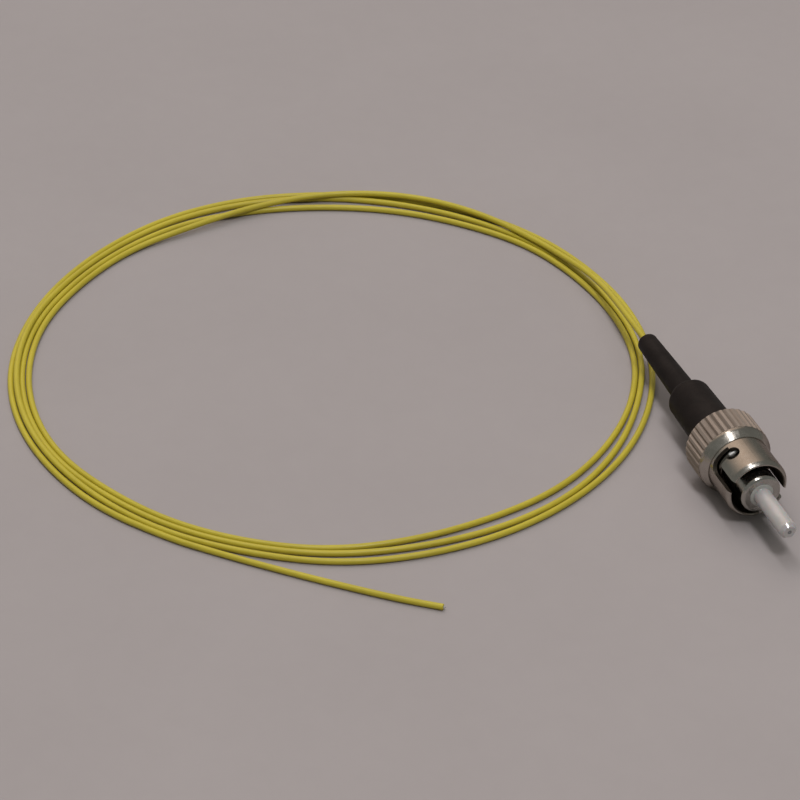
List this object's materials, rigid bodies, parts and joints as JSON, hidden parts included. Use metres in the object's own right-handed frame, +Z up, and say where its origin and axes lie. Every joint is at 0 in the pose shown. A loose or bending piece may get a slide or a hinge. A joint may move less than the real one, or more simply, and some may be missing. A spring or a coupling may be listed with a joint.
{
  "type": "bayonet fibre pigtail",
  "caption": "Coil of thin buffered fibre with a spring-loaded bayonet connector, ceramic ferrule and rubber boot at one end, and cut bare at the other for splicing.",
  "frame": {"origin": "on the table below the middle of the connector, under its axis", "axes": "+X along the connector towards the ferrule's tip, +Z up, the fibre's coil lies to -X and -Y"},
  "size_m": [0.1123, 0.0947, 0.0107],
  "materials": {
    "nickel": "bright nickel plate",
    "ceramic": "polished white zirconia",
    "glass": "clear",
    "yellow_buffer": "satin",
    "white_plastic": "plain",
    "spring_steel": "drawn wire and stamped plate",
    "black_rubber": "matte, moulded"
  },
  "bodies": {
    "connector": {"ferrule": "ceramic", "ferrule_holder": "nickel", "glass_fibre": "glass", "buffered_core": "yellow_buffer", "guide_tube": "white_plastic", "spring": "spring_steel", "retaining_clip": "spring_steel", "boot": "black_rubber", "fibre_lead": "yellow_buffer", "fibre_coil": "yellow_buffer", "fibre_tail": "yellow_buffer"},
    "washer": {"thrust_washer": "spring_steel"},
    "nut": {"coupling_nut": "nickel"}
  },
  "joints": [
    {"name": "nut_slide", "type": "slide", "parent": "connector", "child": "washer", "axis": [1, 0, 0], "range_m": [0, 0.0014], "stiffness_N_per_m": 2000, "springref_m": -0.0025, "deforming": ["spring"]},
    {"name": "nut_spin", "type": "hinge", "parent": "washer", "child": "nut", "pos_m": [0.00787, 0, 0.00535], "axis": [1, 0, 0], "continuous": true}
  ]
}
